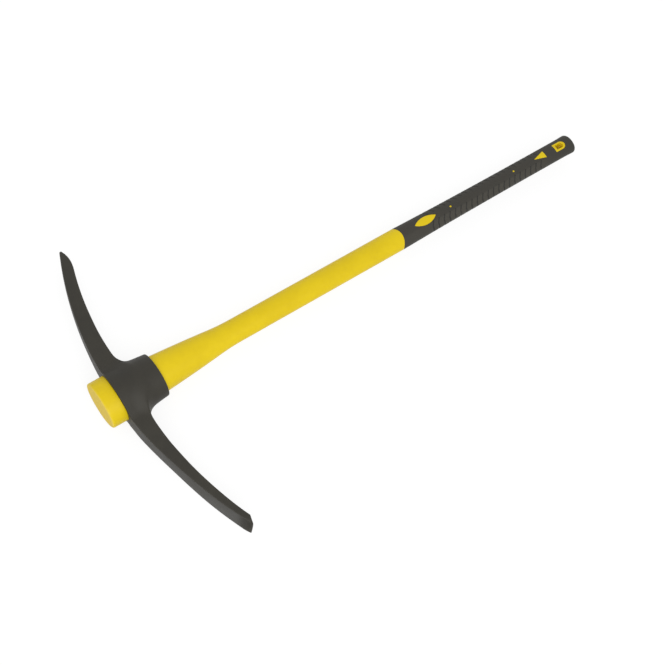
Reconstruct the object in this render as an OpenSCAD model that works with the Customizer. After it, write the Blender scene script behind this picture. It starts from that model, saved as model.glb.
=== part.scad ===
// Pick axe: a forged pick and chisel head, wedged on a moulded handle with a fibreglass core.
// The tool lies flat. +X runs along the handle from the flared end face to the butt,
// +Y points to the pick point, -Y to the chisel, +Z is up. The origin is the centre of the end face.

/* [Handle] */
// Length of the handle from the flared end face to the butt
handle_len = 900; // [820:5:1000]
// Width of the flared oval end that stops the head
cap_w = 76; // [70:0.5:82]
// Length of the flared end that stands out in front of the head
cap_len = 24; // [14:1:36]
// Rounding of the end face's rim
cap_round = 3; // [1:0.5:5]
// Width of the handle where it leaves the back of the eye
neck_w = 60.4; // [56:0.2:64]
// Distance from the end face to the foot of the flare
flare_end = 213; // [180:1:260]
// How far the flare bulges past a straight taper
flare_belly = 0.6; // [0:0.1:2]
// Softness of the bend between the flare and the shaft
flare_blend = 2; // [0.5:0.1:4]
// Width of the shaft
shaft_w = 38.4; // [35:0.2:42]
// Thickness of each oval section as a share of its width
flatness = 0.74; // [0.7:0.01:0.84]

/* [Core] */
// Diameter of the fibreglass rod inside the handle
core_d = 17; // [14:0.5:18]
// Plastic between the rod and the end face
core_cover = 10; // [5:1:20]
// Plastic between the rod and the hang hole
core_to_hole = 15; // [8:1:40]
// Gap between moulded pieces and what they are moulded on
mould_gap = 0.1; // [0.05:0.05:0.3]

/* [Grip] */
// Length of the grip sleeve along its sides
grip_len = 363.4; // [320:0.2:420]
// How far the jacket's round tongue reaches into the grip
grip_tongue = 6; // [3:0.5:10]
// Width of the grip near the butt
grip_w = 32.8; // [30:0.2:36]
// Wall of the grip sleeve
grip_wall = 2; // [1.4:0.1:2.6]
// Wall of the grip over the butt end
butt_wall = 4; // [2:0.5:7]
// How far the butt swells past the grip
butt_swell = 0.5; // [0:0.1:1.5]
// Rounding of the butt end
butt_round = 6; // [3:0.5:8]

/* [Grip ribs] */
// Distance from the butt to the first groove between ribs
rib_from_butt = 76.8; // [66:0.2:90]
// Number of grooves along each side of the grip
rib_count = 21; // [8:1:22]
// Distance from one groove to the next
rib_pitch = 11.3; // [8:0.1:11.6]
// Width of a groove
groove_w = 2.8; // [1.5:0.1:4]
// Depth of a groove
groove_d = 0.6; // [0.2:0.1:0.8]
// Half width of the plain band that runs along the middle of the grip's top and bottom
rib_band = 6.6; // [6:0.2:9]
// Distance from the grip's middle at which the grooves turn towards the butt
rib_bend = 13.6; // [11:0.2:15]
// Slant of the grooves between that bend and the plain band
rib_slant = 35; // [0:1:45]

/* [Grip windows] */
// Length of the leaf window
leaf_len = 42; // [30:1:50]
// Width of the leaf window
leaf_w = 14.6; // [10:0.2:17]
// Distance from the butt to the middle of the leaf window
leaf_from_butt = 309.6; // [290:0.2:320]
// Diameter of the dot windows
dot_d = 3.2; // [2:0.1:6]
// Distance from the butt to the nearer dot window
dot_from_butt = 126.6; // [100:0.2:150]
// Distance between the two dot windows
dot_apart = 132; // [100:1:150]
// Length of the arrow window
arrow_len = 23; // [16:0.5:28]
// Width of the arrow window
arrow_w = 13.2; // [8:0.2:15]
// Distance from the butt to the base of the arrow window
arrow_from_butt = 59.4; // [50:0.2:65]
// Length of the window round the hang hole
eyelet_len = 22; // [20:0.5:26]
// Width of the window round the hang hole
eyelet_w = 15; // [13:0.2:17]
// Distance from the butt to the round end of that window
eyelet_from_butt = 16.4; // [10:0.2:20]
// Length of the hang hole
hole_len = 14; // [11:0.5:16]
// Width of the hang hole
hole_w = 8.6; // [6:0.2:10]

/* [Eye] */
// Length of the eye socket along the handle
eye_len = 71; // [60:1:85]
// Gap between the handle and the eye at its sides
eye_gap = 0.4; // [0.3:0.05:0.8]
// Wall of the eye at its sides
side_wall = 5.1; // [4:0.1:8]
// Wall of the eye at its top and bottom
face_wall = 5.8; // [4:0.1:8]
// Rounding of the socket's rims
socket_edge = 1.2; // [0.5:0.1:2]
// Chamfer of the eye's two mouths
eye_chamfer = 0.8; // [0.3:0.1:1.5]

/* [Arms] */
// Thickness of both arms at the eye
arm_t = 26.4; // [20:0.2:32]
// Rounding of the arms' long edges
arm_edge = 2.4; // [1:0.1:4]
// How far the arms thicken on each face towards the socket
root_swell = 3; // [0:0.2:5]
// Length over which the arms thicken towards the socket
swell_len = 45; // [25:1:70]
// Reach of the pick point from the handle's axis
pick_reach = 250; // [220:1:280]
// Depth of the pick arm at the eye
pick_depth = 30.8; // [26:0.2:36]
// Radius of the pick arm's front edge
pick_front_r = 600; // [520:5:700]
// Radius of the pick arm's inner edge
pick_inner_r = 513; // [470:5:560]
// Length of the straight start of the pick arm's inner edge
pick_straight = 50; // [30:1:60]
// Fillet between the pick arm and the socket
pick_fillet = 14; // [8:0.5:18]
// Length of the rounded pick point
point_len = 40; // [28:1:52]
// Thickness of the pick arm where the point begins
point_t = 15; // [10:0.5:22]
// Blunt end of the pick point
point_tip = 2.6; // [1.5:0.1:5]
// Reach of the chisel edge from the handle's axis
chisel_reach = 270.4; // [240:1:300]
// Depth of the chisel arm at the eye
chisel_depth = 28.2; // [24:0.2:34]
// Radius of the chisel arm's front edge
chisel_front_r = 664; // [600:4:760]
// Radius of the chisel arm's inner edge
chisel_inner_r = 584; // [540:2:640]
// Length of the straight start of the chisel arm's inner edge
chisel_straight = 60; // [40:1:70]
// Fillet between the chisel arm and the socket
chisel_fillet = 20; // [10:0.5:24]
// Width of the chisel where its bevel begins
chisel_w = 46; // [36:1:60]
// Distance from the handle's axis to where the chisel starts to widen
widen_from = 100; // [80:1:150]
// Length of the chisel's bevel
bevel_len = 12.4; // [8:0.2:20]
// Thickness left at the chisel's edge
chisel_tip = 1; // [0.6:0.1:2]
// Rounding of the chisel's corners
chisel_corner = 3.5; // [1:0.5:6]

/* [Hidden] */
$fn = 96;

// Colours
steel_black = [0.27, 0.265, 0.245];
jacket_yellow = [0.9, 0.78, 0.13];
core_cream = [0.86, 0.82, 0.66];
grip_black = [0.23, 0.225, 0.21];

// Handle stations and half widths
cap_r = cap_w / 2;
neck_r = neck_w / 2;
shaft_r = shaft_w / 2;
neck_x = cap_len + eye_len;
grip_x = handle_len - grip_len;
tongue_r = (shaft_r * shaft_r + grip_tongue * grip_tongue) / (2 * grip_tongue);
tongue_x = grip_x + grip_tongue - tongue_r;
arc_steps = 6;
flare_steps = 12;
grip_steps = 12;
through = 2 * cap_w;
over = 2;

// Window stations
leaf_x = handle_len - leaf_from_butt;
dot_x = handle_len - dot_from_butt;
arrow_x = handle_len - arrow_from_butt;
eyelet_x = handle_len - eyelet_from_butt - eyelet_len / 2;

// Head stations and counts of loft sections
boss_front = cap_len;
arm_h = arm_t / 2;
limb_h = 0.4;
ogive = 2.2;
blend_h = 20;
fillet_soft = 6;
blend_share = 0.9;
across = 12;
point_rings = 6;
arm_rings = 12;
fillet_rings = 7;
collar_rings = 3;
boss_rings = 30;
bevel_rings = 4;

function lerp(a, b, u) = a + (b - a) * u;
function ease(u) = let (t = min(1, max(0, u))) t * t * (3 - 2 * t);

// The greater of two values, with a fillet where they are near each other.
function blend(a, b, k) = max(a, b) + pow(max(0, k - abs(a - b)), 2) / (4 * max(k, 0.01));

// Half width of the handle inside the eye at x, which tapers so that the head wedges on it.
function taper_r(x) = lerp(cap_r, neck_r, (x - cap_len) / eye_len);

// Half width of the flare behind the eye: a taper with a slight belly, bent softly into the shaft.
function flare_r(u) = let (taper = lerp(neck_r, shaft_r, u) + 4 * flare_belly * max(0, u * (1 - u)))
    blend(taper, shaft_r, flare_blend);

// Half width of the grip: it narrows fast behind the shaft and then slowly to the butt.
function grip_r(x) = grip_w / 2 + (shaft_r - grip_w / 2) * pow(1 - (x - grip_x) / grip_len, 3);

// A body with oval sections: a profile of [half width, x] pairs turned about X and flattened.
module oval_body(profile) {
    scale([1, 1, flatness])
        rotate([0, 90, 0])
            rotate_extrude()
                polygon(profile);
}

// Outline of the handle from just past its end face to the middle of the grip's tongue.
function handle_profile() = concat(
    [[0, -over], [cap_r - cap_round, -over]],
    [for (i = [0:arc_steps]) let (a = 90 * i / arc_steps)
        [cap_r - cap_round * (1 - sin(a)), cap_round * (1 - cos(a))]],
    [[cap_r, cap_len]],
    [for (i = [0:flare_steps]) let (u = (1 + flare_blend / (neck_r - shaft_r)) * i / flare_steps)
        [flare_r(u), lerp(neck_x, flare_end, u)]],
    [[shaft_r, grip_x + grip_tongue], [0, grip_x + grip_tongue]]
);

// Outline of the grip, taken in by the given amount all round and at the butt.
function grip_profile(inset, butt_inset) = let (
    end_x = handle_len - butt_inset,
    round_r = max(1, butt_round - inset),
    end_r = grip_w / 2 + butt_swell - inset
) concat(
    [[0, grip_x]],
    [for (i = [0:grip_steps]) let (x = lerp(grip_x, end_x - 4 * butt_round, i / grip_steps))
        [grip_r(x) - inset, x]],
    [for (i = [0:arc_steps]) let (a = 90 * i / arc_steps)
        [end_r - round_r * (1 - cos(a)), end_x - round_r * (1 - sin(a))]],
    [[0, end_x]]
);

// The space from the end face to the grip's curved front edge, grown by the given gap there.
module before_grip(gap) {
    translate([tongue_x, 0, 0])
        cylinder(r = tongue_r + gap, h = through, center = true);
    translate([0, -through / 2, -through / 2])
        cube([tongue_x, through, through]);
}

// Leaf outline between two arcs, along X, grown by the given gap.
module leaf_outline(gap) {
    half = leaf_len / 2;
    arc_r = (half * half + leaf_w * leaf_w / 4) / leaf_w;
    intersection_for (side = [-1, 1])
        translate([0, side * (arc_r - leaf_w / 2)])
            circle(r = arc_r + gap, $fn = 180);
}

// Arrow outline with its apex towards the head, grown by the given gap.
module arrow_outline(gap) {
    slope = norm([arrow_len, arrow_w / 2]) / arrow_len;
    base_half = arrow_w / 2 + gap * (slope + arrow_w / 2 / arrow_len);
    polygon([
        [gap, -base_half],
        [gap, base_half],
        [-arrow_len - gap * slope * arrow_len / (arrow_w / 2), 0]
    ]);
}

// D outline with its round end towards the butt, centred on its length.
module d_outline(length, width) {
    straight = length - width / 2;
    translate([-length / 2, -width / 2])
        square([straight, width]);
    translate([length / 2 - width / 2, 0])
        circle(d = width);
}

// All windows of the grip as prisms through the handle, grown by the given gap.
module windows(gap) {
    linear_extrude(height = through, center = true) {
        translate([leaf_x, 0])
            leaf_outline(gap);
        for (x = [dot_x, dot_x - dot_apart])
            translate([x, 0])
                circle(d = dot_d + 2 * gap);
        translate([arrow_x, 0])
            arrow_outline(gap);
        translate([eyelet_x, 0])
            d_outline(eyelet_len + 2 * gap, eyelet_w + 2 * gap);
    }
}

// The hang hole right through the handle.
module hang_hole() {
    translate([eyelet_x, 0, 0])
        linear_extrude(height = through, center = true)
            d_outline(hole_len, hole_w);
}

// The fibreglass rod, grown by the given gap.
module rod(gap) {
    end = eyelet_x - hole_len / 2 - core_to_hole;
    translate([core_cover - gap, 0, 0])
        rotate([0, 90, 0])
            cylinder(d = core_d + 2 * gap, h = end - core_cover + 2 * gap);
}

// Plan of one groove at x: straight over the side of the grip, then slanted up to the plain band.
module groove_outline(x, side) {
    lean = (rib_bend - rib_band) * tan(rib_slant);
    half = groove_w / 2;
    polygon([
        [x - half, side * through / 2],
        [x - half, side * rib_bend],
        [x + lean - half, side * rib_band],
        [x + lean + half, side * rib_band],
        [x + half, side * rib_bend],
        [x + half, side * through / 2]
    ]);
}

// The grooves between the ribs on both sides of the plain band, down to an inner oval.
module grooves() {
    difference() {
        linear_extrude(height = through, center = true)
            for (i = [0:rib_count - 1])
                for (side = [-1, 1])
                    groove_outline(handle_len - rib_from_butt - i * rib_pitch, side);
        oval_body(grip_profile(groove_d, butt_wall));
    }
}

module handle_core() {
    color(core_cream)
        rod(0);
}

module handle_jacket() {
    color(jacket_yellow)
        difference() {
            union() {
                intersection() {
                    oval_body(handle_profile());
                    before_grip(0);
                }
                oval_body(grip_profile(grip_wall + mould_gap, butt_wall + mould_gap));
                intersection() {
                    oval_body(grip_profile(0, 0));
                    windows(0);
                }
            }
            rod(mould_gap);
            hang_hole();
        }
}

module grip_sleeve() {
    color(grip_black)
        difference() {
            oval_body(grip_profile(0, 0));
            oval_body(grip_profile(grip_wall, butt_wall));
            before_grip(mould_gap);
            windows(mould_gap);
            grooves();
        }
}

// Half width and half height of the socket's outside at x.
function boss_r(x) = taper_r(x) + eye_gap + side_wall;
function boss_h(x) = flatness * (taper_r(x) + eye_gap) + face_wall;

// Each arm's values are picked by the sign of y: the pick is at +Y and the chisel at -Y.
function depth(y) = y > 0 ? pick_depth : chisel_depth;
function root_x(y) = boss_front + depth(y);
function fillet_r(y) = y > 0 ? pick_fillet : chisel_fillet;
function fillet_x(y) = root_x(y) + fillet_r(y);
function fillet_y(y) = boss_r(fillet_x(y)) + fillet_r(y);

// Front edge of the head in plan: one arc for each arm, meeting at the eye.
function front_x(y) = let (r = y > 0 ? pick_front_r : chisel_front_r)
    boss_front + r - sqrt(r * r - y * y);

// Inner edge of an arm in plan before its point or bevel: straight at first, then an arc.
function arc_x(y) = let (
    r = y > 0 ? pick_inner_r : chisel_inner_r,
    run = max(0, abs(y) - (y > 0 ? pick_straight : chisel_straight))
) root_x(y) + r - sqrt(r * r - run * run);

// The pick's point is an ogive and the chisel's bevel a straight cut, both on the inner edge.
function point_u(y) = max(0, (y - pick_reach + point_len) / point_len);
function bevel_u(y) = max(0, (-y - chisel_reach + bevel_len) / bevel_len);
function inner_x(y) = let (
    end = y > 0 ? point_tip : chisel_tip,
    cut = y > 0 ? pow(point_u(y), ogive) : bevel_u(y)
) front_x(y) + lerp(arc_x(y) - front_x(y), end, cut);

// Half thickness of the arms: the pick tapers to its point, the chisel widens to its edge.
function pick_h(y) = let (
    u = point_u(y),
    v = max(0, (y - fillet_y(1)) / (pick_reach - point_len - fillet_y(1)))
) u > 0 ? lerp(point_t, point_tip, pow(u, ogive)) / 2 : lerp(arm_h, point_t / 2, v);
function chisel_h(y) = let (
    span = chisel_reach - bevel_len - widen_from,
    v = max(0, (-y - widen_from) / span)
) arm_h + (chisel_w / 2 - arm_h) * pow(min(v, 1), 1.6) - chisel_corner * pow(bevel_u(y), 3);
function swell(y) = root_swell * pow(1 - min(1, max(0, (abs(y) - boss_r(boss_front)) / swell_len)), 2);
function arm_half(y) = swell(y) + (y > 0 ? pick_h(y) : chisel_h(y));

// From 1 on the arm to 0 behind its fillet, where only the socket is left.
function fade(x, y) = abs(y) > fillet_y(y) ? 1 : 1 - ease((x - root_x(y)) / fillet_r(y));
function socket_half(x, y) = boss_h(x) * sqrt(max(0, 1 - pow(y / boss_r(x), 2)));

// How far the fillet between arm and socket stands out from the socket's side at x.
function fillet_out(x, y) = let (r = fillet_r(y))
    r - sqrt(max(0, r * r - pow(fillet_x(y) - x, 2)));

// Half height of an arm. Behind its inner edge it turns into the fillet: a fading wall
// that leans into the socket's oval side, moved out to the fillet's outline.
function limb_half(x, y) = let (
    full = arm_half(y),
    f = fade(x, y),
    off = max(0, abs(y) - fillet_out(x, y)) / boss_r(fillet_x(y)),
    side = boss_h(x) * sqrt(max(0, 1 - off * off))
) f == 0 || f == 1 ? full * f : -blend(-full, -norm([full * f, side]), fillet_soft * (1 - f));

// Half height of the head at a point in plan: arm and socket, joined by a fillet no taller than they are.
function head_half(x, y) = let (
    limb = limb_half(x, y),
    socket = socket_half(x, y)
) max(limb_h, blend(limb, socket, fade(x, y) * min(blend_h, blend_share * max(limb, socket))));

// One closed section of the head, from its front edge at front_y to the inner edge point.
function section(front_y, inner, edge) = let (
    start = [front_x(front_y), front_y],
    width = norm(inner - start),
    rim = min(0.25, edge / width),
    steps = concat([0], [for (i = [0:across]) lerp(rim, 1 - rim, (1 - cos(180 * i / across)) / 2)], [1]),
    top = [for (w = steps) let (
        p = lerp(start, inner, w),
        h = head_half(p.x, p.y),
        drop = w == 0 || w == 1 ? min(edge, 0.35 * h) : 0
    ) [p.x, p.y, max(limb_h, h - drop)]],
    last = len(top) - 1
) concat(top, [for (i = [last:-1:0]) [top[i].x, top[i].y, -top[i].z]]);

// Sections of one arm from its tip inwards to the socket. side is 1 for the pick, -1 for the chisel.
function arm_y(side) = let (
    reach = side > 0 ? pick_reach : chisel_reach,
    tip_len = side > 0 ? point_len : bevel_len,
    tip_rings = side > 0 ? point_rings : bevel_rings
) concat(
    [for (i = [0:tip_rings]) side * (reach - tip_len * pow(i / tip_rings, 1.5))],
    [for (i = [1:arm_rings]) side * lerp(reach - tip_len, fillet_y(side), i / arm_rings)]
);
function arm_sections(side) = let (
    fx = fillet_x(side),
    fy = fillet_y(side),
    rim_y = boss_r(boss_front),
    rings = fillet_rings + collar_rings
) concat(
    [for (y = arm_y(side)) section(y, [inner_x(y), y], arm_edge)],
    [for (i = [1:fillet_rings]) let (a = 180 + 90 * i / fillet_rings)
        section(side * lerp(fy, rim_y, i / rings),
            [fx + fillet_r(side) * cos(a), side * (fy + fillet_r(side) * sin(a))],
            lerp(arm_edge, socket_edge, i / rings))],
    [for (i = [1:collar_rings - 1]) let (x = lerp(fx, neck_x, i / collar_rings))
        section(side * lerp(fy, rim_y, (fillet_rings + i) / rings), [x, side * boss_r(x)],
            lerp(arm_edge, socket_edge, (fillet_rings + i) / rings))]
);

// Sections of the socket, along the straight lines of its oval taper.
function socket_sections() = [
    for (i = [0:boss_rings]) let (c = cos(180 * i / boss_rings))
        section(boss_r(boss_front) * c, [neck_x, boss_r(neck_x) * c], socket_edge)
];

function reversed(list) = [for (i = [len(list) - 1:-1:0]) list[i]];

// A closed skin over a row of sections that all have the same number of points.
module skin(sections) {
    n = len(sections[0]);
    rows = len(sections);
    points = [for (s = sections) each s];
    sides = [for (j = [0:rows - 2]) for (i = [0:n - 1]) let (
        a = j * n + i,
        b = j * n + (i + 1) % n
    ) each [[a, b, b + n], [a, b + n, a + n]]];
    first = [for (i = [n - 1:-1:0]) i];
    last = [for (i = [0:n - 1]) (rows - 1) * n + i];
    polyhedron(points = points, faces = concat([first], sides, [last]), convexity = 8);
}

// The tapered oval eye with a chamfer at each mouth, cut past both ends of the socket.
module eye() {
    flare = eye_chamfer + over;
    oval_body([
        [0, boss_front - over],
        [taper_r(boss_front) + eye_gap + flare, boss_front - over],
        [taper_r(boss_front + eye_chamfer) + eye_gap, boss_front + eye_chamfer],
        [taper_r(neck_x - eye_chamfer) + eye_gap, neck_x - eye_chamfer],
        [taper_r(neck_x) + eye_gap + flare, neck_x + over],
        [0, neck_x + over]
    ]);
}

module pick_head() {
    color(steel_black)
        difference() {
            skin(concat(arm_sections(1), socket_sections(), reversed(arm_sections(-1))));
            eye();
        }
}

pick_head();
handle_jacket();
handle_core();
grip_sleeve();
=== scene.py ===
import bmesh
import bpy
import numpy as np
from mathutils import Matrix, Vector


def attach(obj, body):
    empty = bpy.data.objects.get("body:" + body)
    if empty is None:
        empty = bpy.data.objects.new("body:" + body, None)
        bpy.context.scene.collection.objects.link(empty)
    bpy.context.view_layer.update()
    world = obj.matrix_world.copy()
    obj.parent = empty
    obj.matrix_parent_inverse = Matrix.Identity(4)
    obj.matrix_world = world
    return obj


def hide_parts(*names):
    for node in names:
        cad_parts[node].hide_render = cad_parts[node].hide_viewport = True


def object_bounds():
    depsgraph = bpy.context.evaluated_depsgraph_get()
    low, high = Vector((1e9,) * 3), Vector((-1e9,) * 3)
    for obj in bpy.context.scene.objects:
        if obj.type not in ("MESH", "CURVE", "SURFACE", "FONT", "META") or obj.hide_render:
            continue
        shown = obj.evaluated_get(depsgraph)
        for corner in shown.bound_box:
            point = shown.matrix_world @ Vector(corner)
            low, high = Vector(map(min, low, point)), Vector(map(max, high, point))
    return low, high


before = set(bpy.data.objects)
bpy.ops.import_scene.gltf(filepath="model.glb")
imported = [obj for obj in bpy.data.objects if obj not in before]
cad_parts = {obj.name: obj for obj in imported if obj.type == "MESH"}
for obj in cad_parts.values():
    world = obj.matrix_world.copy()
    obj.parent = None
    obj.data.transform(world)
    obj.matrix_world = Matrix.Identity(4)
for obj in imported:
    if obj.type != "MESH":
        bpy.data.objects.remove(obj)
cad_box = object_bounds()


# Fibreglass core: a round rod of glass strands drawn lengthwise through cream resin.
# The jacket is moulded round it, so it shows only where the handle would be cut open.

def add(tree, kind, inputs=None, **settings):
    """Adds a shader node with its settings, and sets or links its inputs by name or number."""
    made = tree.nodes.new("ShaderNode" + kind)
    for key, value in settings.items():
        setattr(made, key, value)
    for key, value in (inputs or {}).items():
        if isinstance(value, bpy.types.NodeSocket):
            tree.links.new(value, made.inputs[key])
        else:
            made.inputs[key].default_value = value
    return made


def mix_values(tree, share, a, b):
    """The value a share of the way from a to b."""
    return add(tree, "Mix", {0: share, 2: a, 3: b}).outputs[0]


def mix_colours(tree, share, a, b):
    """The colour a share of the way from a to b."""
    return add(tree, "Mix", {0: share, 6: a, 7: b}, data_type="RGBA").outputs[2]


def work_out(tree, operation, *values):
    """The result of one sum on values that change over the surface."""
    return add(tree, "Math", dict(enumerate(values)), operation=operation).outputs[0]


def map_range(tree, value, source, target=(0, 1), curve="LINEAR"):
    """A value carried over from a source range to a target range, and held at the target's ends."""
    ends = {"From Min": source[0], "From Max": source[1], "To Min": target[0], "To Max": target[1]}
    return add(tree, "MapRange", {"Value": value, **ends}, interpolation_type=curve).outputs[0]


def open_group(name, inputs, outputs):
    """Starts a shader node group with named sockets; returns its tree, its inputs and its outputs."""
    tree = bpy.data.node_groups.new(name, "ShaderNodeTree")
    for side, sockets in (("INPUT", inputs), ("OUTPUT", outputs)):
        for label, kind in sockets.items():
            tree.interface.new_socket(label, in_out=side, socket_type="NodeSocket" + kind)
    return tree, tree.nodes.new("NodeGroupInput").outputs, tree.nodes.new("NodeGroupOutput").inputs


def use_group(tree, group, inputs):
    """Puts a shader node group into a material, sets or links its inputs, and returns its outputs."""
    return add(tree, "Group", inputs, node_tree=group).outputs


def open_material(name, **values):
    """Starts a material with one Principled shader; returns it, its tree, the shader's inputs and the place
    of a point on the object."""
    made = bpy.data.materials.new(name)
    made.use_nodes = True
    tree = made.node_tree
    shader = tree.nodes["Principled BSDF"].inputs
    for key, value in values.items():
        shader[key.replace("_", " ")].default_value = value
    return made, tree, shader, add(tree, "TexCoord").outputs["Object"]


def finish_surface(tree, shader, colour, roughness, height, strength, depth):
    """Gives a shader its colour, its roughness and a fine relief, whose depth is in metres."""
    relief = add(tree, "Bump", {"Height": height, "Strength": strength, "Distance": depth})
    tree.links.new(colour, shader["Base Color"])
    tree.links.new(roughness, shader["Roughness"])
    tree.links.new(relief.outputs[0], shader["Normal"])


# Cloudy variation of two sizes between two colours.
patches, given, result = open_group(
    "soft_patches",
    {"Vector": "Vector", "Scale": "Float", "Dark": "Color", "Light": "Color"},
    {"Color": "Color", "Value": "Float"},
)
finer_scale = work_out(patches, "MULTIPLY", given["Scale"], 7.0)
broad = add(patches, "TexNoise", {"Vector": given["Vector"], "Scale": given["Scale"], "Detail": 3.0})
finer = add(patches, "TexNoise", {"Vector": given["Vector"], "Scale": finer_scale, "Detail": 2.0})
cloud = mix_values(patches, 0.3, broad.outputs[0], finer.outputs[0])
cloudy = map_range(patches, cloud, (0.35, 0.65))
tint = mix_colours(patches, cloudy, given["Dark"], given["Light"])
patches.links.new(tint, result["Color"])
patches.links.new(cloudy, result["Value"])

# Fine skin of a moulded or painted surface: rounded cells mixed with a finer noise.
grain, given, result = open_group(
    "surface_grain", {"Vector": "Vector", "Scale": "Float"}, {"Height": "Float"}
)
cells = add(
    grain, "TexVoronoi", {"Vector": given["Vector"], "Scale": given["Scale"], "Smoothness": 1.0},
    feature="SMOOTH_F1",
)
dust = add(grain, "TexNoise", {"Vector": given["Vector"], "Scale": given["Scale"], "Detail": 4.0})
grain.links.new(mix_values(grain, 0.5, cells.outputs["Distance"], dust.outputs[0]), result["Height"])

core_resin, tree, shader, place = open_material("core_resin", IOR=1.52)
drawn = add(tree, "Mapping", {"Vector": place, "Scale": (0.02, 1.0, 1.0)}).outputs[0]
strands = use_group(tree, patches, {
    "Vector": drawn, "Scale": 900.0, "Dark": (0.55, 0.48, 0.30, 1), "Light": (0.78, 0.72, 0.52, 1),
})
dulled = map_range(tree, strands["Value"], (0, 1), (0.30, 0.55))
fibres = use_group(tree, grain, {"Vector": drawn, "Scale": 1400.0})
finish_surface(tree, shader, strands["Color"], dulled, fibres["Height"], 0.3, 0.0002)
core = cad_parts["handle_core"]
core.data.materials.clear()
core.data.materials.append(core_resin)


# Jacket: the yellow plastic handle moulded over the core, oval all along and flared at the head end.
# It runs on under the grip as a thinner tang, behind a rounded tongue at the visible joint,
# and its flat end face keeps the small round mark of the moulding gate.

FLAT = 0.74
CAP_R, NECK_R, SHAFT_R, GRIP_R = 38.0, 30.2, 19.2, 16.4
CAP_X, NECK_X, FLARE_X, GRIP_X, BUTT_X = 24.0, 95.0, 213.0, 536.6, 900.0
CAP_ROUND, FLARE_BELLY, FLARE_BLEND = 3.0, 2.4, 2.0
GATE_R, GATE_FADE = 3.1, 15.0
FACE_DEPTH, RIM_WEAR, RIM_WIDTH = 1.0, 2.5, 4.0
TONGUE, LIP = 6.0, 0.5
GRIP_WALL, GRIP_GAP, TAIL_X = 2.0, 0.1, 872.0
BUTT_WALL, BUTT_ROUND, BUTT_FLAT_R = 4.0, 6.0, 10.9
INSIDE_ROUND = BUTT_ROUND - GRIP_WALL
INSIDE_X = BUTT_X - BUTT_WALL - INSIDE_ROUND
HOLE_X = 872.6
HOLE_SIZE, BRIM_SIZE = np.array([14.0, 8.6]), np.array([22.0, 15.0])
CUTTER_HALF = 40.0
MEETING = 0.002


def lerp(a, b, u):
    """The value a share u of the way from a to b."""
    return a + (b - a) * u


def step(value, start, run):
    """A smooth step from 0 to 1 that begins at a start and lasts for a run: three squares less two cubes
    of the share of the run that is done."""
    done = np.clip((value - start) / run, 0, 1)
    return done * done * (3 - 2 * done)


def blend(a, b, k):
    """The greater of two values, with a fillet of size k where they are near each other."""
    return np.maximum(a, b) + np.maximum(0, k - np.abs(a - b)) ** 2 / (4 * k)


def grip_r(x):
    """Half width of the grip at x: it narrows fast behind the shaft and then slowly to the butt."""
    return GRIP_R + (SHAFT_R - GRIP_R) * (1 - (x - GRIP_X) / (BUTT_X - GRIP_X)) ** 3


def tongue(y):
    """Station of the joint between jacket and grip: an arc that reaches furthest back at the middle."""
    radius = (SHAFT_R**2 + TONGUE**2) / (2 * TONGUE)
    return GRIP_X + TONGUE - radius + np.sqrt(radius**2 - y * y)


def oval(x, r, angle, flat=FLAT):
    """Points of oval sections: half width r across, flattened in height, at station x."""
    return np.stack(np.broadcast_arrays(x, r * np.cos(angle), flat * r * np.sin(angle)), -1)


def weld(name, grids, mark=None):
    """One closed mesh from grids of points in millimetres, rows by columns by xyz. Neighbouring points of
    a grid make four-sided faces, and points that meet are joined. A mark is kept for each point."""
    start = np.cumsum([0] + [grid.shape[0] * grid.shape[1] for grid in grids])
    faces = []
    for first, grid in zip(start, grids):
        index = first + np.arange(grid.shape[0] * grid.shape[1]).reshape(grid.shape[:2])
        corners = [index[:-1, :-1], index[:-1, 1:], index[1:, 1:], index[1:, :-1]]
        faces.append(np.stack(corners, -1).reshape(-1, 4))
    points = np.concatenate([grid.reshape(-1, 3) for grid in grids]) / 1000
    mesh = bpy.data.meshes.new(name)
    mesh.from_pydata(points, [], np.concatenate(faces).tolist())
    if mark is not None:
        marks = mesh.attributes.new("mark", "FLOAT", "POINT")
        marks.data.foreach_set("value", mark.astype(np.float32).ravel())
    shape = bmesh.new()
    shape.from_mesh(mesh)
    bmesh.ops.remove_doubles(shape, verts=shape.verts, dist=MEETING / 1000)
    bmesh.ops.recalc_face_normals(shape, faces=shape.faces)
    shape.to_mesh(mesh)
    shape.free()
    made = bpy.data.objects.new(name, mesh)
    bpy.context.scene.collection.objects.link(made)
    return made


def cut(piece, cutter):
    """Takes a closed cutter out of a piece and keeps what is left as the piece's mesh."""
    taken = piece.modifiers.new("cut", "BOOLEAN")
    taken.object = cutter
    kept = bpy.data.meshes.new_from_object(piece.evaluated_get(bpy.context.evaluated_depsgraph_get()))
    piece.modifiers.clear()
    piece.data = kept
    bpy.data.objects.remove(cutter)


def dress(piece, material, sharp, body, node):
    """Smooths a piece except along edges sharper than an angle, gives it its material, ties it to its body
    and hides the CAD solid that it stands for."""
    piece.data.shade_smooth()
    piece.data.set_sharp_from_angle(angle=np.radians(sharp))
    piece.data.materials.clear()
    piece.data.materials.append(material)
    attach(piece, body)
    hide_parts(node)


def d_outline(length, width):
    """D outline with its round end towards the butt: a flat end, a side, a half circle and the other side."""
    u = np.linspace(0, 1, 13)[:-1]
    half = width / 2
    side = length - half
    bow = np.linspace(-np.pi / 2, np.pi / 2, 25)[:-1]
    x = np.concatenate([0 * u, side * u, side + half * np.cos(bow), side * (1 - u), [0]])
    y = np.concatenate([width * (0.5 - u), 0 * u - half, half * np.sin(bow), 0 * u + half, [half]])
    return np.stack([x - length / 2, y], -1)


def prism(outline, x):
    """Closed upright prism over an outline at station x, tall enough to pass through the handle."""
    ring = np.column_stack([outline[:, 0] + x, outline[:, 1], 0 * outline[:, 0]])
    middle = 0 * ring + ring.mean(0)
    rise = np.array([0, 0, CUTTER_HALF])
    return np.stack([middle - rise, ring - rise, ring + rise, middle + rise])


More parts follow.
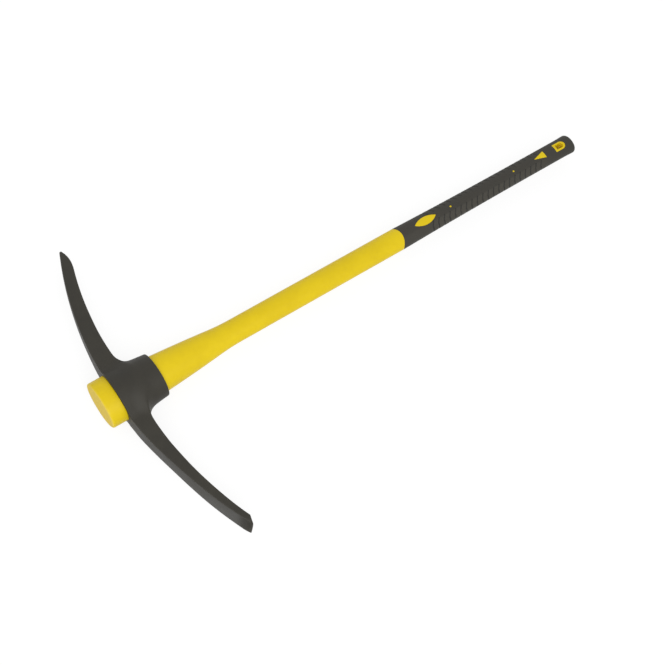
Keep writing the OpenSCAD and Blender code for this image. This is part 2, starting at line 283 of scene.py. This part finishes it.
turn = np.linspace(0, 2 * np.pi, 145)
around_once = 0 * turn
gate_r, gate_x = [0, 0.9, 1.1, 2.7, GATE_R], [0.2, 0.2, 0.6, 0.6, 0]
face_r = np.array([5.0, 10.0, 17.0, 24.0, 30.0])
bend = np.linspace(0, np.pi / 2, 11)
cap_u = np.linspace(0, 1, 9)[1:]
eye_u = np.linspace(0, 1, 11)[1:-1]
flare_u = np.linspace(0, 1 + FLARE_BLEND / (NECK_R - SHAFT_R), 41)
flare_r = lerp(NECK_R, SHAFT_R, flare_u) + FLARE_BELLY * np.maximum(0, flare_u * (1 - flare_u))
profile_r = np.concatenate([
    gate_r, face_r, CAP_R - CAP_ROUND * (1 - np.sin(bend)), CAP_R + 0 * cap_u, lerp(CAP_R, NECK_R, eye_u),
    blend(flare_r, SHAFT_R, FLARE_BLEND),
])
profile_x = np.concatenate([
    gate_x, 0 * face_r, CAP_ROUND * (1 - np.cos(bend)), lerp(CAP_ROUND, CAP_X, cap_u),
    lerp(CAP_X, NECK_X, eye_u), lerp(NECK_X, FLARE_X, flare_u),
])
joint_x = tongue(SHAFT_R * np.cos(turn))
lip_turn = np.linspace(0, np.pi / 2, 5)[:, None]
shaft_x = lerp(profile_x[-1], joint_x - LIP, np.linspace(0, 1, 49)[1:-1, None])
tang_x = lerp(joint_x, TAIL_X - GRIP_GAP, np.linspace(0, 1, 30)[:, None])
tang_round = INSIDE_ROUND - GRIP_GAP
end_turn = np.linspace(0, np.pi / 2, 7)[:, None]
jacket_x = np.concatenate([
    profile_x[:, None] + around_once, shaft_x, joint_x - LIP * (1 - np.sin(lip_turn)), tang_x,
    INSIDE_X + tang_round * np.sin(end_turn) + around_once, INSIDE_X + tang_round + around_once[None],
])
jacket_r = np.concatenate([
    profile_r[:, None] + around_once, SHAFT_R + 0 * shaft_x,
    SHAFT_R - LIP * (1 - np.cos(lip_turn)) + around_once, grip_r(tang_x) - GRIP_WALL - GRIP_GAP,
    BUTT_FLAT_R + tang_round * np.cos(end_turn) + around_once, around_once[None],
])
in_face = jacket_x < FACE_DEPTH
flatness = FLAT + (1 - FLAT) * (1 - step(jacket_r, GATE_R, GATE_FADE)) * in_face
worn_rim = np.exp(-(((jacket_x - FACE_DEPTH) / RIM_WEAR) ** 2)) * (jacket_r > CAP_R - RIM_WIDTH)
jacket = weld("jacket_skin", [oval(jacket_x, jacket_r, turn, flatness)], worn_rim)
cut(jacket, weld("hole_cutter", [prism(d_outline(*(HOLE_SIZE + BRIM_SIZE) / 2), HOLE_X)]))

# Rubbed places along exposed edges, broken up by noise.
rub, given, result = open_group("edge_rub", {"Vector": "Vector", "Rim": "Float"}, {"Mask": "Float"})
scuffs = add(rub, "TexNoise", {"Vector": given["Vector"], "Scale": 140.0, "Detail": 4.0, "Roughness": 0.6})
worn = work_out(rub, "MULTIPLY", given["Rim"], scuffs.outputs[0])
rub.links.new(map_range(rub, worn, (0.2, 0.75), curve="SMOOTHSTEP"), result["Mask"])

yellow_plastic, tree, shader, place = open_material("yellow_plastic", IOR=1.47, Specular_IOR_Level=0.3)
colour = use_group(tree, patches, {
    "Vector": place, "Scale": 16.0, "Dark": (0.735, 0.535, 0.002, 1), "Light": (0.80, 0.592, 0.0035, 1),
})
edge = add(tree, "Attribute", attribute_name="mark").outputs["Fac"]
rubbed = use_group(tree, rub, {"Vector": place, "Rim": edge})
paler = mix_colours(tree, rubbed["Mask"], colour["Color"], (0.80, 0.61, 0.03, 1))
where = add(tree, "SeparateXYZ", {0: place}).outputs
end_face = map_range(tree, where["X"], (0.0012, 0.0004))
# Painted reflection: the flat end face is made paler and whiter, standing for the bright room that it
# mirrors.
with_painted_reflection = mix_colours(tree, end_face, paler, (0.80, 0.60, 0.115, 1))
gloss = map_range(tree, colour["Value"], (0, 1), (0.34, 0.44))
dulled = mix_values(tree, end_face, gloss, 1.0)
peel = use_group(tree, grain, {"Vector": place, "Scale": 650.0})
off_line = work_out(tree, "ABSOLUTE", where["Z"])
parting_line = map_range(tree, off_line, (0, 0.0004), (1.2, 0), "SMOOTHSTEP")
moulded = work_out(tree, "ADD", peel["Height"], parting_line)
finish_surface(tree, shader, with_painted_reflection, dulled, moulded, 0.25, 0.00012)
dress(jacket, yellow_plastic, 40, "handle", "handle_jacket")


# Inlays: raised parts of the jacket that fill the grip's windows on its top and bottom.
# A leaf, two dots and an arrow lie flush with the rubber, and an eyelet lines the hang hole right through.

LEAF_HALF_LENGTH, LEAF_HALF_WIDTH = 21.0, 7.3
ARROW_LENGTH, ARROW_HALF_BASE = 23.0, 6.6
DOT_R = 1.6
LEAF_X, NEAR_DOT_X, FAR_DOT_X, ARROW_X = 590.4, 641.4, 773.4, 840.6


def grip_top(x, y):
    """Half height of the grip's oval outside above a point in plan."""
    return FLAT * np.sqrt(np.maximum(grip_r(x) ** 2 - y * y, 0))


def leaf_outline(gap):
    """Leaf outline between two arcs that meet at its tips, grown by a gap."""
    radius = (LEAF_HALF_LENGTH**2 + LEAF_HALF_WIDTH**2) / (2 * LEAF_HALF_WIDTH)
    inset = radius - LEAF_HALF_WIDTH
    swing = np.arccos(inset / (radius + gap))
    a = np.linspace(-swing, swing, 33)
    arc = np.column_stack([(radius + gap) * np.sin(a), (radius + gap) * np.cos(a) - inset])
    return np.concatenate([arc[:-1], -arc])


def arrow_outline(gap):
    """Arrow outline: three straight sides with the apex towards the head, grown by a gap."""
    slope = np.hypot(ARROW_LENGTH, ARROW_HALF_BASE)
    base = ARROW_HALF_BASE + gap * (slope + ARROW_HALF_BASE) / ARROW_LENGTH
    apex = -ARROW_LENGTH - gap * slope / ARROW_HALF_BASE
    corners = np.array([[gap, base], [gap, -base], [apex, 0], [gap, base]])
    u = np.linspace(0, 3, 43)
    return np.column_stack([np.interp(u, range(4), corners[:, 0]), np.interp(u, range(4), corners[:, 1])])


def dot_outline(gap):
    """Round outline of a dot, grown by a gap."""
    a = np.linspace(0, 2 * np.pi, 41)
    return (DOT_R + gap) * np.column_stack([np.cos(a), np.sin(a)])


def pad(outline, x, side):
    """Closed pad on the grip's oval: rings from the middle out to a rounded edge, a skirt and a floor."""
    share = np.array([0, 0.3, 0.6, 0.85, 0.94, 0.98, 1, 1, 0])[:, None]
    drop = np.array([0, 0, 0, 0, 0.02, 0.1, 0.3, 2.6, 2.6])[:, None]
    middle = outline[:-1].mean(0)
    px = x + lerp(middle[0], outline[:, 0], share)
    py = lerp(middle[1], outline[:, 1], share)
    return np.stack([px, py, side * (grip_top(px, py) - drop)], -1)


windows = [
    (leaf_outline, LEAF_X), (dot_outline, FAR_DOT_X), (dot_outline, NEAR_DOT_X), (arrow_outline, ARROW_X),
]
pads = [pad(outline(0), x, side) for outline, x in windows for side in (1, -1)]
hole, brim = d_outline(*HOLE_SIZE), d_outline(*BRIM_SIZE)
inward = np.array([0, 0.08, 0.2, 0.5, 0.8, 0.92, 1, 1, 1])[:, None]
sunk = np.array([0.35, 0.06, 0, 0, 0, 0.12, 0.5, 4, 9])[:, None]
ring_x = HOLE_X + lerp(brim[:, 0], hole[:, 0], inward)
ring_y = lerp(brim[:, 1], hole[:, 1], inward)
upper = np.stack([ring_x, ring_y, grip_top(ring_x, ring_y) - sunk], -1)
eyelet = np.concatenate([upper, upper[::-1] * (1, 1, -1), upper[:1]])
inlays = weld("jacket_inlays", pads + [eyelet])
dress(inlays, yellow_plastic, 40, "handle", "handle_jacket")


# Grip sleeve: black rubber moulded over the tang, closed over the butt and ribbed along both sides.
# Its front edge follows the jacket's tongue, and windows cut through it show the yellow inlays.

GROOVES, GROOVE_PITCH, LAST_GROOVE_X = 21, 11.3, 823.2
GROOVE_DEPTH, GROOVE_FLOOR, GROOVE_FLANK = 0.6, 0.9, 0.6
RIB_BEND_Y, BAND_Y, BAND_EDGE, RIB_SLANT = 13.6, 6.6, 0.3, 35.0
INSIDE_FRONT_X, PLAIN_END_X, SWELL_X = 560.0, 878.0, 876.0
WINDOW_GAP = 0.15
# Painted highlight on the chisel's side of the grip: where it starts across, where it grows to full past the
# leaf, where it fades before the butt, and its share ahead of the leaf.
HIGHLIGHT_SIDE, HIGHLIGHT_LEAF, HIGHLIGHT_BUTT = (6.0, 3.0), (590.0, 20.0), (820.0, 30.0)
HIGHLIGHT_AHEAD = 0.5


def around(r):
    """Angles round each oval row, with columns gathered where the ribs bend and where they end at the
    plain band. An angle's cosine is the place across as a share of the half width."""
    stops = np.array([[RIB_BEND_Y], [BAND_Y + BAND_EDGE], [BAND_Y], [BAND_Y - BAND_EDGE]])
    widest = np.array([[0.84], [0.44], [0.42], [0.40]])
    breaks = np.arccos(np.minimum(stops / np.maximum(r, 1), widest))
    side = lerp(0, breaks[0], np.linspace(0, 1, 9)[:, None])
    slant = lerp(breaks[0], breaks[1], np.linspace(0, 1, 11)[1:, None])
    band = lerp(breaks[3], np.pi / 2, np.linspace(0, 1, 8)[:, None])
    first = np.concatenate([side, slant, breaks[2:3], band])
    half = np.concatenate([first, np.pi - first[-2::-1]])
    return np.concatenate([half, half[1:] + np.pi]).T


def slanted(y):
    """How far the ribs have moved towards the butt at y: none over the sides, most at the plain band."""
    return np.tan(np.radians(RIB_SLANT)) * np.clip(RIB_BEND_Y - np.abs(y), 0, RIB_BEND_Y - BAND_Y)


end_turn = np.linspace(0, np.pi / 2, 12)
back_x = np.linspace(TAIL_X, INSIDE_FRONT_X, 27)
inside_turn = end_turn[::-1]
inner_r = np.concatenate([[0], BUTT_FLAT_R + INSIDE_ROUND * np.cos(inside_turn), grip_r(back_x) - GRIP_WALL])
inner_x = np.concatenate([[BUTT_X - BUTT_WALL], INSIDE_X + INSIDE_ROUND * np.sin(inside_turn), back_x])
inner = oval(inner_x[:, None], inner_r[:, None], around(inner_r))

edge_turn = around(np.full(1, SHAFT_R))[0]
edge_x = tongue(SHAFT_R * np.cos(edge_turn)) + GRIP_GAP
edge_r = grip_r(edge_x)
mouth_x = np.concatenate([edge_x[None], edge_x + LIP * (1 - np.cos(lip_turn))])
mouth_r = np.concatenate([edge_r[None] - GRIP_WALL, edge_r - LIP * (1 - np.sin(lip_turn))])

groove_x = LAST_GROOVE_X - GROOVE_PITCH * np.arange(GROOVES)[::-1]
flank = np.array([0.7, 1.0, 1.2, 1.4, 1.6, 2.0, 3.5])
ribbed_x = (groove_x[:, None] + np.concatenate([[-5.6], -flank[::-1], [0], flank])).ravel()
ribbed_turn = around(grip_r(ribbed_x))
across = np.abs(grip_r(ribbed_x)[:, None] * np.cos(ribbed_turn))
rib_x = ribbed_x[:, None] + slanted(across)
from_groove = np.abs(ribbed_x[:, None] - groove_x).min(1)[:, None]
beside_band = step(across, BAND_Y - BAND_EDGE, 2 * BAND_EDGE)
grooved = (1 - step(from_groove, GROOVE_FLOOR, GROOVE_FLANK)) * beside_band

lead_u = np.linspace(0, 1, 22)[1:-1, None]
lead_turn = lerp(edge_turn, ribbed_turn[0], lead_u)
lead_x = lerp(edge_x + LIP, rib_x[0], lead_u)
tail_x = lerp(rib_x[-1], PLAIN_END_X, np.linspace(0, 1, 15)[1:, None])
butt_turn_x, butt_r = BUTT_X - BUTT_ROUND, BUTT_FLAT_R + BUTT_ROUND
swell_x = np.array([881, 884, 887, 890, 892.5])
swell_r = lerp(grip_r(SWELL_X), butt_r, step(swell_x, SWELL_X, butt_turn_x - SWELL_X))
end_r = np.concatenate([swell_r, BUTT_FLAT_R + BUTT_ROUND * np.cos(end_turn), [0]])
end_x = np.concatenate([swell_x, butt_turn_x + BUTT_ROUND * np.sin(end_turn), [BUTT_X]])
outer = np.concatenate([
    oval(mouth_x, mouth_r, edge_turn), oval(lead_x, grip_r(lead_x), lead_turn),
    oval(rib_x, grip_r(rib_x) - GROOVE_DEPTH * grooved, ribbed_turn),
    oval(tail_x, grip_r(tail_x), ribbed_turn[-1]), oval(end_x[:, None], end_r[:, None], around(end_r)),
])

# Painted highlight: the rubber is lightened on the chisel's side, where the lamp lights the ribs, half as
# much ahead of the leaf, and not at the butt. The same mark rises to 1 in the grooves, for their painted
# shade.
grooves = np.pad(grooved, ((len(mouth_x) + len(lead_x), len(tail_x) + len(end_x)), (0, 0)))
on_side = step(-outer[..., 1], *HIGHLIGHT_SIDE)
behind_leaf = lerp(HIGHLIGHT_AHEAD, 1, step(outer[..., 0], *HIGHLIGHT_LEAF))
before_butt = 1 - step(outer[..., 0], *HIGHLIGHT_BUTT)
painted_shade_and_highlight = lerp(-on_side * behind_leaf * before_butt, 1, grooves)
marks = np.concatenate([np.zeros(inner.shape[:2]), painted_shade_and_highlight])
sleeve = weld("grip_rubber_sleeve", [np.concatenate([inner, outer])], marks)
openings = [prism(outline(WINDOW_GAP), x) for outline, x in windows]
openings.append(prism(d_outline(*BRIM_SIZE + 2 * WINDOW_GAP), HOLE_X))
cut(sleeve, weld("window_cutter", openings))

grip_rubber, tree, shader, place = open_material("grip_rubber_black", IOR=1.5)
colour = use_group(tree, patches, {
    "Vector": place, "Scale": 22.0, "Dark": (0.021, 0.0185, 0.0125, 1), "Light": (0.031, 0.0275, 0.0195, 1),
})
# The mark paints the rubber lighter on the chisel's side as a painted highlight, and nearly black in the
# grooves as painted shade.
painted_shade_and_highlight = add(tree, "Attribute", attribute_name="mark").outputs["Fac"]
highlight_share = map_range(tree, painted_shade_and_highlight, (0, -1), (0, 0.8))
with_painted_highlight = mix_colours(tree, highlight_share, colour["Color"], (0.042, 0.038, 0.028, 1))
# Painted shade: the grooves between the ribs are darkened nearly to black.
in_groove = map_range(tree, painted_shade_and_highlight, (0, 1), (0, 0.9))
with_painted_shade = mix_colours(tree, in_groove, with_painted_highlight, (0.006, 0.005, 0.003, 1))
matt = map_range(tree, colour["Value"], (0, 1), (0.56, 0.70))
pores = use_group(tree, grain, {"Vector": place, "Scale": 1100.0})
finish_surface(tree, shader, with_painted_shade, matt, pores["Height"], 0.35, 0.00015)
dress(sleeve, grip_rubber, 40, "handle", "grip_sleeve")


# Head: one steel forging with a tapered oval eye, a curved pick to a blunt point and a curved chisel,
# painted satin black. Sections run from its front edge to its inner edge, and are lofted from the pick's
# point over the socket to the chisel's edge. It slides down the handle and wedges on the flare.

PICK, POINT, CHISEL, BEVEL = 250.0, 40.0, 270.4, 12.4
FRONT_RADIUS, INNER_RADIUS = (600.0, 664.0), (513.0, 584.0)
INNER_STRAIGHT, DEPTH, TIP_DEPTH = (50.0, 60.0), (30.8, 28.2), (2.6, 1.0)
ROOT_HALF, POINT_HALF, TIP_HALF, EDGE_HALF = 13.2, 7.5, 1.3, 23.0
TAPER_Y, WIDEN_Y, OGIVE, WIDENING = 52.6, 100.0, 2.2, 1.6
NARROWER, FULLER, ROOT_SWELL, BEVEL_DROP = 0.9, 2.6, 3.0, 3.5
ROOT_FORWARD, MIDDLE_BACK, END_RETURN = 1.4, 2.7, 0.9
EYE_GAP, SIDE_WALL, FACE_WALL = 0.4, 5.1, 5.8
EYE_CHAMFER, EYE_OVERCUT = 0.8, 2.0
FRONT_FILLET, BACK_FILLET, BACK_ROUND, REAR_ROUND = (7.0, 13.0), (19.0, 23.0), 2.8, 1.4
FRONT_ROUND, CORNER_ROUND = (1.4, 1.0), (1.2, 0.9)
TOP_AT, CROWN, RAY_START = 0.6, 0.5, 6.0
SPAN, HALVINGS = 80.0, 40
EDGE_WEAR, POINT_WEAR, CHISEL_WEAR, LEAST_WEAR = 2.5, 9.0, 16.0, 0.35
WEAR_Y, WEAR_RISE = 40.0, 20.0

# Places along the head, from the eye outwards, and the start and length of each smooth change there.
CHANGE_Y, EYE_Y, ROOT_Y, REAR_BLEND = 30.0, 34.0, 64.0, 6.0
ROOT_RUN, MIDDLE_RUN, END_RUN = (32.0, 14.0), (60.0, 90.0), (160.0, 80.0)
NARROW_RUN, FULL_RUN, THIN_RUN = (50.0, 20.0), (35.0, 40.0), (185.0, 70.0)
SWELL_RUN, ROUND_RUN, NEAR_RUN = (35.0, 58.0), (40.0, 30.0), (100.0, 30.0)
FILLET_RUN = (36.0, 20.0)


def taper_r(x):
    """Half width of the handle inside the eye."""
    return lerp(CAP_R, NECK_R, (x - CAP_X) / (NECK_X - CAP_X))


def boss_r(x):
    """Half width of the socket's outside: the handle, the gap and the side wall."""
    return taper_r(x) + EYE_GAP + SIDE_WALL


def boss_h(x):
    """Half height of the socket's outside: the flattened handle and gap, and the face wall."""
    return FLAT * (taper_r(x) + EYE_GAP) + FACE_WALL


def arm(y, pick, chisel):
    """The chisel's value on its own side and the pick's on the other, with an easy change inside the eye."""
    return lerp(chisel, pick, step(y, -CHANGE_Y, 2 * CHANGE_Y))


def front_x(y):
    """Front edge of the head in plan: one long arc for each arm. The chisel's edge drifts off its arc,
    forward at the root and back further out."""
    radius = arm(y, *FRONT_RADIUS)
    drift = MIDDLE_BACK * step(-y, *MIDDLE_RUN) - END_RETURN * step(-y, *END_RUN) - ROOT_FORWARD
    return CAP_X + radius - np.sqrt(radius**2 - y * y) + drift * step(-y, *ROOT_RUN)


def point_u(y):
    """Share of the way along the pick's rounded point."""
    return np.clip((y - PICK + POINT) / POINT, 0, 1)


def bevel_u(y):
    """Share of the way along the chisel's bevel."""
    return np.clip((-y - CHISEL + BEVEL) / BEVEL, 0, 1)


def inner_edge(y):
    """Inner edge of an arm in plan: straight, then an arc, then the ogive of the point or the cut of the
    bevel. The chisel is a little narrower past its root."""
    radius = arm(y, *INNER_RADIUS)
    run = np.maximum(0, np.abs(y) - arm(y, *INNER_STRAIGHT))
    depth = arm(y, *DEPTH) - NARROWER * step(-y, *NARROW_RUN)
    full = CAP_X + depth + radius - np.sqrt(radius**2 - run**2) - front_x(y)
    closed = arm(y, point_u(y) ** OGIVE, bevel_u(y))
    return front_x(y) + lerp(full, arm(y, *TIP_DEPTH), closed)


def arm_half(y):
    """Half thickness of the arms: the pick tapers to its point, the chisel is fuller along its middle and
    widens to its edge, and both swell at the socket."""
    tapered = lerp(ROOT_HALF, POINT_HALF, np.clip((y - TAPER_Y) / (PICK - POINT - TAPER_Y), 0, 1))
    pick = np.where(point_u(y) > 0, lerp(POINT_HALF, TIP_HALF, point_u(y) ** OGIVE), tapered)
    widened = np.clip((-y - WIDEN_Y) / (CHISEL - BEVEL - WIDEN_Y), 0, 1) ** WIDENING
    fuller = FULLER * step(-y, *FULL_RUN) * (1 - step(-y, *THIN_RUN))
    chisel = lerp(ROOT_HALF, EDGE_HALF, widened) + fuller - BEVEL_DROP * bevel_u(y) ** 3
    return arm(y, pick, chisel) + ROOT_SWELL * (1 - step(np.abs(y), *SWELL_RUN))


def head_gap(x, y, z):
    """Gap of points from the head's skin, negative inside: arm and socket joined with a fillet and cut
    square in front and behind. The arm's gap is the greater of those to its inner edge and its top, and
    the socket's is that to its oval."""
    limb = blend(x - inner_edge(y), np.abs(z) - arm_half(y), BACK_ROUND)
    wide, high = boss_r(x), boss_h(x)
    out = np.hypot(y / wide, z / high)
    socket = out * (out - 1) / np.maximum(1e-6, np.hypot(y / wide**2, z / high**2))
    fillet = lerp(arm(y, *FRONT_FILLET), arm(y, *BACK_FILLET), step(x, *FILLET_RUN))
    joined = -blend(-limb, -socket, fillet)
    front_round = lerp(*FRONT_ROUND, step(np.abs(y), *ROUND_RUN))
    return blend(blend(joined, front_x(y) - x, front_round), x - NECK_X, REAR_ROUND)


def reach(x, y, run, rise):
    """Distance from points on the mid plane to the head's skin, along a direction that runs back and rises:
    a span is halved many times, each time keeping the half with the skin in it."""
    near, far = np.zeros(np.broadcast(x, y, run).shape), SPAN
    for _ in range(HALVINGS):
        half = (near + far) / 2
        inside = head_gap(x + half * run, y, half * rise) < 1e-6
        near, far = np.where(inside, half, near), np.where(inside, far, half)
    return near


def spread(*stops):
    """Values that run evenly from each stop to the next, given as value, count, value, count and so on."""
    legs = zip(stops[:-2:2], stops[1::2], stops[2::2])
    return np.concatenate([np.linspace(a, b, count, endpoint=False) for a, count, b in legs] + [stops[-1:]])


# Slices across the head, closest at the tips and round the socket. Near the socket the skin is found
# along rays, and further out on the arms the slices are rounded rectangles.
tips = np.linspace(0, 1, 27) ** 1.5
middle_y = spread(PICK - POINT, 48, ROOT_Y, 90, EYE_Y, 67, -EYE_Y, 90, -ROOT_Y, 56, BEVEL - CHISEL)
slice_y = np.concatenate([PICK - POINT * tips[:-1], middle_y[:-1], BEVEL * tips[::-2] - CHISEL])[:, None]
off_eye = np.abs(slice_y)
near = 1 - step(off_eye, *NEAR_RUN)
front = front_x(slice_y)
across_eye = RAY_START + reach(front + RAY_START, slice_y, 1.0, 0.0)
width = lerp(inner_edge(slice_y) - front, across_eye, near)
high = lerp(arm_half(slice_y), reach(front + TOP_AT * width, slice_y, 0.0, 1.0), near)
rear = boss_h(NECK_X) * np.sqrt(np.maximum(0, 1 - (slice_y / boss_r(NECK_X)) ** 2))
low = lerp(rear, high, step(off_eye, boss_r(NECK_X), REAR_BLEND))
rounding = lerp(*CORNER_ROUND, step(off_eye, *ROUND_RUN))
corner, dip = np.minimum(rounding, 0.25 * width), np.minimum(rounding, 0.35 * low)

# Half of each slice: a rounded front corner, the top, a rounded back corner and the upper half of the back.
swing = np.linspace(0, np.pi / 2, 7)
level = (1 - np.cos(np.linspace(0, np.pi, 33)[1:-1])) / 2
wall = np.linspace(1, 0, 6)[1:]
along = np.concatenate([
    corner * (1 - np.cos(swing)), lerp(corner, width - corner, level),
    width - corner * (1 - np.cos(swing[::-1])), width + CROWN * (1 - wall**2),
], 1)
lowered = np.concatenate([1 - np.sin(swing), 0 * level, 1 - np.sin(swing[::-1]), 0 * wall + 1])
standing = np.concatenate([0 * swing + 1, 0 * level + 1, 0 * swing + 1, wall])
past_top = np.clip((along / width - TOP_AT) / (1 - TOP_AT), 0, 1)
up = (lerp(high, low, past_top) - dip * lowered) * standing
foot = np.minimum(along, TOP_AT * width)
length = np.hypot(along - foot, up)
run, rise = (along - foot) / length, up / length
carried = reach(front + foot, slice_y, run, rise)
half_x = front + lerp(along, foot + carried * run, near)
half_z = lerp(up, carried * rise, near)
face = np.linspace(-1, 1, 9)[1:]
loop_x = np.concatenate([half_x, half_x[:, -2::-1], front - CROWN * (1 - face**2) * (1 - near)], 1)
loop_z = np.concatenate([half_z, -half_z[:, -2::-1], half_z[:, :1] * face], 1)

# Paint wears along the arms' edges, and most at the two tips.
from_edge = np.maximum(np.minimum(along, width - along), high - up)
from_edges = np.concatenate([from_edge, from_edge[:, -2::-1], (1 - np.abs(face)) * high], 1)
worn_edge = np.exp(-from_edges / EDGE_WEAR)
worn_tip = np.maximum(np.exp((slice_y - PICK) / POINT_WEAR), np.exp((-slice_y - CHISEL) / CHISEL_WEAR))
wear = np.maximum(worn_edge * np.clip((off_eye - WEAR_Y) / WEAR_RISE, LEAST_WEAR, 1), worn_tip)
skin = np.stack(np.broadcast_arrays(loop_x, slice_y, loop_z), -1)
first, last = [np.broadcast_to(row.mean(1, keepdims=True), row.shape) for row in (skin[:1], skin[-1:])]
head = weld(
    "pick_head_forging", [np.concatenate([first, skin, last])], np.concatenate([wear[:1], wear, wear[-1:]])
)
bore_x = np.array([CAP_X - EYE_OVERCUT, CAP_X + EYE_CHAMFER, NECK_X - EYE_CHAMFER, NECK_X + EYE_OVERCUT])
bore_r = taper_r(np.clip(bore_x, CAP_X, NECK_X)) + EYE_GAP
bore_r[[0, -1]] += EYE_CHAMFER + EYE_OVERCUT
eye_x, eye_r = np.pad(bore_x, 1, "edge"), np.pad(bore_r, 1)
cut(head, weld("eye_cutter", [oval(eye_x[:, None], eye_r[:, None], turn)]))

black_paint, tree, shader, place = open_material("black_satin_paint", IOR=1.5, Specular_IOR_Level=0.42)
colour = use_group(tree, patches, {
    "Vector": place, "Scale": 14.0, "Dark": (0.0155, 0.0133, 0.008, 1), "Light": (0.0265, 0.0233, 0.0155, 1),
})
edge = add(tree, "Attribute", attribute_name="mark").outputs["Fac"]
rubbed = use_group(tree, rub, {"Vector": place, "Rim": edge})
thinner = mix_colours(tree, rubbed["Mask"], colour["Color"], (0.048, 0.044, 0.035, 1))
satin = map_range(tree, colour["Value"], (0, 1), (0.48, 0.60))
dulled = mix_values(tree, rubbed["Mask"], satin, 0.85)
where = add(tree, "SeparateXYZ", {0: place}).outputs
near_edge = map_range(tree, where["Y"], (-0.245, -0.266), curve="SMOOTHSTEP")
below_top = map_range(tree, work_out(tree, "ABSOLUTE", where["Z"]), (0.0218, 0.0208))
scuffed = mix_values(tree, work_out(tree, "MULTIPLY", near_edge, below_top), dulled, 0.9)
stipple = use_group(tree, grain, {"Vector": place, "Scale": 420.0})
hammered = add(tree, "TexNoise", {"Vector": place, "Scale": 38.0, "Detail": 2.0})
forged = work_out(tree, "MULTIPLY_ADD", hammered.outputs[0], 3.0, stipple["Height"])
finish_surface(tree, shader, thinner, scuffed, forged, 0.3, 0.00025)
dress(head, black_paint, 38, "head", "pick_head")


# Floor, light and camera: a plain white floor under the tool, an even white sky with one broad soft lamp
# on the chisel's side, and a camera high over the flared end.

FLOOR_DROP, FLOOR_HALF = 0.5, 6000.0
FLOOR_SHARE, FLOOR_GLOW, SKY_STRENGTH = 0.8, 1.08, 0.66
LAMP_SIZE, LAMP_POWER = 1.8, 29
LAMP_PLACE, LAMP_AIM = Vector((-0.5, -1.4, 2.0)), Vector((0.35, 0, 0))
CAMERA_PLACE, CAMERA_ANGLES = (-0.336077, -0.691166, 1.756910), (62.3, -48.5014, 14.933)
FILM_WIDTH, FOCAL_PIXELS, PICTURE_PIXELS = 36, 1315, 665


def seen_directly(tree):
    """1 for rays that show the background to the eye, in a mirror or through glass, and 0 for rays that light
    the tool."""
    ray = add(tree, "LightPath").outputs
    seen = work_out(tree, "MAXIMUM", ray["Is Camera Ray"], ray["Is Glossy Ray"])
    return work_out(tree, "MAXIMUM", seen, ray["Is Transmission Ray"])


floor_z = cad_box[0][2] * 1000 - FLOOR_DROP
span = np.array([-FLOOR_HALF, FLOOR_HALF])
floor = weld("floor", [np.stack(np.broadcast_arrays(span[:, None], span, floor_z), -1)])
white, tree, *_ = open_material("white_floor", Base_Color=(0.86, 0.86, 0.86, 1), Roughness=0.9)
portion = work_out(tree, "MULTIPLY", seen_directly(tree), FLOOR_SHARE)
glow = add(tree, "Emission", {"Strength": FLOOR_GLOW})
surface = add(
    tree, "MixShader", {0: portion, 1: tree.nodes["Principled BSDF"].outputs[0], 2: glow.outputs[0]}
)
tree.links.new(surface.outputs[0], tree.nodes["Material Output"].inputs["Surface"])
floor.data.materials.append(white)

world = bpy.data.worlds.new("studio")
bpy.context.scene.world = world
world.use_nodes = True
tree = world.node_tree
sky = tree.nodes["Background"]
sky.inputs["Color"].default_value = (1, 1, 1, 1)
sky.inputs["Strength"].default_value = SKY_STRENGTH
backdrop = add(tree, "Background", {"Color": (1, 1, 1, 1), "Strength": 1.0})
either = add(tree, "MixShader", {0: seen_directly(tree), 1: sky.outputs[0], 2: backdrop.outputs[0]})
tree.links.new(either.outputs[0], tree.nodes["World Output"].inputs["Surface"])

lamp = bpy.data.lights.new("soft_lamp", "AREA")
lamp.size = LAMP_SIZE
lamp.energy = LAMP_POWER
lamp_object = bpy.data.objects.new("soft_lamp", lamp)
lamp_object.location = LAMP_PLACE
lamp_object.rotation_euler = (LAMP_AIM - LAMP_PLACE).to_track_quat("-Z", "Y").to_euler()
bpy.context.scene.collection.objects.link(lamp_object)

elevation, azimuth, roll = np.radians(CAMERA_ANGLES)
outward = np.cos(elevation)
away = Vector((np.sin(azimuth) * outward, -np.cos(azimuth) * outward, np.sin(elevation)))
sideways = Vector((0, 0, 1)).cross(away).normalized()
upright = away.cross(sideways)
right = sideways * np.cos(roll) + upright * np.sin(roll)
top = upright * np.cos(roll) - sideways * np.sin(roll)
camera = bpy.data.cameras.new("camera")
camera.sensor_width = FILM_WIDTH
camera.lens = FOCAL_PIXELS * FILM_WIDTH / PICTURE_PIXELS
camera_object = bpy.data.objects.new("camera", camera)
aim = Matrix((right, top, away)).transposed().to_4x4()
camera_object.matrix_world = Matrix.Translation(CAMERA_PLACE) @ aim
bpy.context.scene.collection.objects.link(camera_object)
bpy.context.scene.camera = camera_object
bpy.context.scene.view_settings.view_transform = "Standard"
